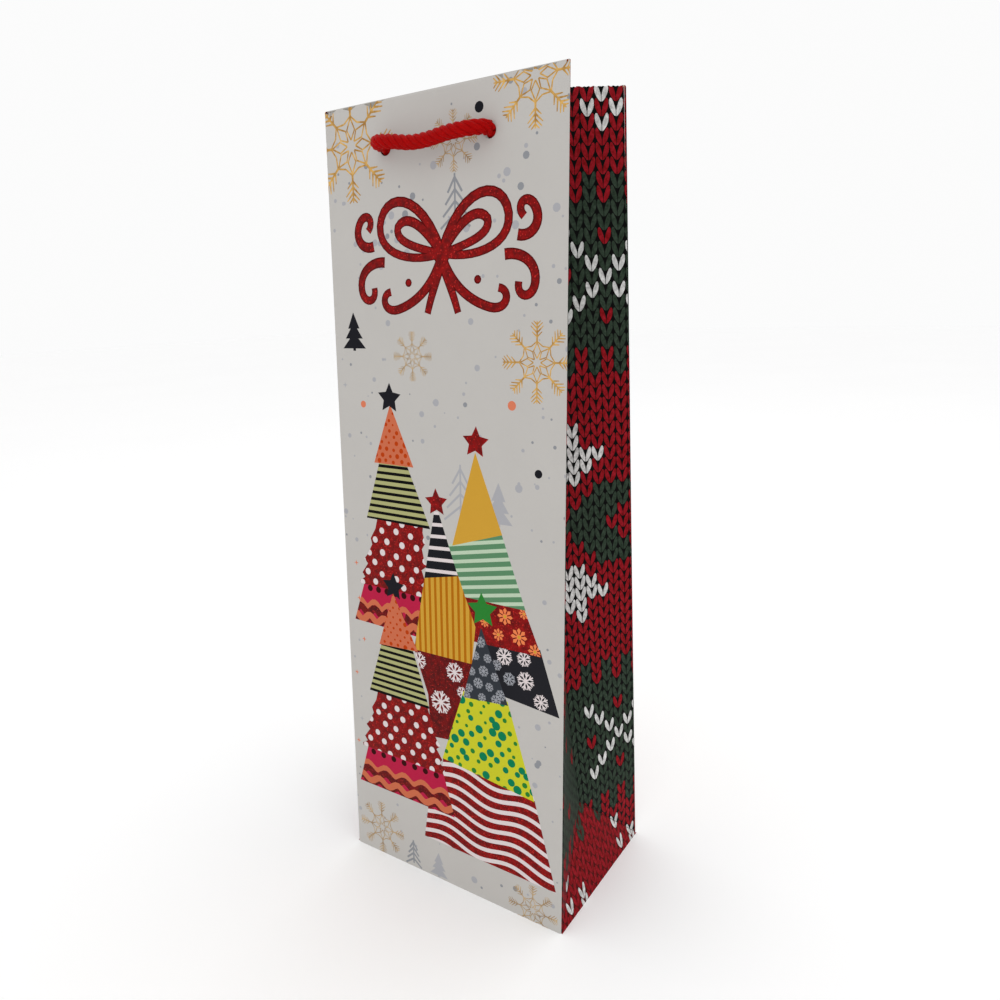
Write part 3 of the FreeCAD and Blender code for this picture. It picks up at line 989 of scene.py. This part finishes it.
def add_gusset_half(side, end):
    right, rear = (1 if side == "right" else -1), (1 if end == "rear" else -1)
    node = f"{side}_{end}_gusset"
    body = f"{side}_{end}_half"
    first, last = (0, HALF) if end == "rear" else (HALF, DEPTH)

    def to_u(a):
        return a if end == "rear" else DEPTH - a

    start, low = GUSSET_START, GUSSET_START * APEX / HALF
    outline = [(start, low), (HALF, APEX), (HALF, GUSSET_TOP), (start, GUSSET_TOP)]
    if end == "rear":          # its lip closes the slit that opens at the centre crease with the mouth
        outline[2:3] = [(HALF + lip, v) for v, lip in CREASE_LIP]
    art = knit_art(outline, lambda a, v: (to_u(a), v), 0, HEIGHT + 1, first, last)
    extra = grid(start, HALF, 4, HEIGHT - 0.5, 6.5, 9) + grid(start, HALF, HEIGHT - 0.3, HEIGHT + 0.8, 5, 0.25)
    extra += [(start + (HALF - start) * i / 14, low + (APEX - low) * i / 14) for i in range(15)]
    extra += [(HALF + 0.02, v) for v in range(42, 360, 6)]      # where the lip starts
    piece = sheet_object(node + "_print", art, lambda u, v, d: gusset_point(u, v, d, right, rear), extra)
    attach(piece, body)
    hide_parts(node)
    foot = HEIGHT - HEM_DEEP
    hem_outline = [(HEM_FIRST, foot), (HEM_LAST, foot), (HEM_LAST, HEM_TOP), (HEM_FIRST, HEM_TOP)]
    hem_art = knit_art(hem_outline, lambda a, v: (to_u(a), 2 * HEIGHT - v), HEIGHT, HEIGHT + HEM_DEEP, first, last)
    hem = sheet_object(node + "_turned_in", hem_art,
                       lambda u, v, d: gusset_point(u, v, HEM_INWARD - d, right, rear),
                       grid(HEM_FIRST, HEM_LAST, foot, HEIGHT - 0.4, 7, 8))
    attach(hem, body)
    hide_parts(node + "_hem")
    for sheet in (piece, hem):
        sheet.parent = None        # a blended piece has no parent
        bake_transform(sheet)


def add_foot(side):
    right = 1 if side == "right" else -1
    outline = [(-40.6, 0.0), (40.6, 0.0), (0, 40.85)]
    art = knit_art(outline, lambda a, v: (HALF - a, v), 0, 42, 0, DEPTH, "foot_gap")
    piece = sheet_object(side + "_foot_print", art, lambda y, v, d: foot_point(y, v, d, right),
                         [(x, y) for x, y in grid(-40, 40, 0.6, 40, 8, 8) if abs(x) + y < 40])
    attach(piece, side + "_foot")
    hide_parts(side + "_gusset_foot")


for side in ("right", "left"):
    for end in ("front", "rear"):
        add_gusset_half(side, end)
    add_foot(side)


# CAD parts that keep their shape

for material, names in (
        (INKS["paper"], ("front_hem", "back_hem", "front_base_flap", "back_base_flap", "left_base_flap",
                         "right_base_flap")),
        (INKS["inside"], ("side_seam_lap",)),
        (board("grey_board", (150, 146, 138), (96, 90, 84)), ("base_card", "front_hem_card", "back_hem_card"))):
    for name in names:
        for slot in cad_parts[name].material_slots:
            slot.material = material


# Floor and light

FLOOR_HALF = 6          # metres
WORLD_STRENGTH = 0.97


def area_light(name, place, target, size, power):
    data = bpy.data.lights.new(name, "AREA")
    data.shape = "DISK"
    data.size, data.energy = size, power
    lamp = bpy.data.objects.new(name, data)
    lamp.location = place
    lamp.rotation_euler = (Vector(target) - Vector(place)).to_track_quat("-Z", "Y").to_euler()
    bpy.context.scene.collection.objects.link(lamp)


def add_studio():
    n = Nodes("studio_floor")
    cloud = n.texture("ShaderNodeTexNoise", 3.0)
    n.set(n.shader, "Base Color", n.mix(cloud.outputs["Fac"], (0.94, 0.94, 0.94, 1), (0.92, 0.92, 0.92, 1)))
    n.set(n.shader, "Roughness", 0.9)
    n.set(n.shader, "Emission Color", (1, 1, 1, 1))
    n.set(n.shader, "Emission Strength", 0.06)
    mesh = bpy.data.meshes.new("floor")
    corners = [(x * FLOOR_HALF, y * FLOOR_HALF, 0) for x, y in ((-1, -1), (1, -1), (1, 1), (-1, 1))]
    mesh.from_pydata(corners, [], [(0, 1, 2, 3)])
    mesh.materials.append(n.material)
    floor = bpy.data.objects.new("floor", mesh)
    bpy.context.scene.collection.objects.link(floor)
    world = bpy.data.worlds.new("studio")
    world.use_nodes = True
    sky = world.node_tree.nodes["Background"].inputs
    sky["Color"].default_value = (1, 1, 1, 1)
    sky["Strength"].default_value = WORLD_STRENGTH
    bpy.context.scene.world = world
    area_light("key", (0.25, -1.0, 1.0), (0, 0, 0.15), 0.8, 0.6)
    area_light("top", (0.3, 0.3, 1.6), (0, 0, 0.1), 1.2, 3.0)
    bpy.context.scene.view_settings.view_transform = "Standard"


add_studio()
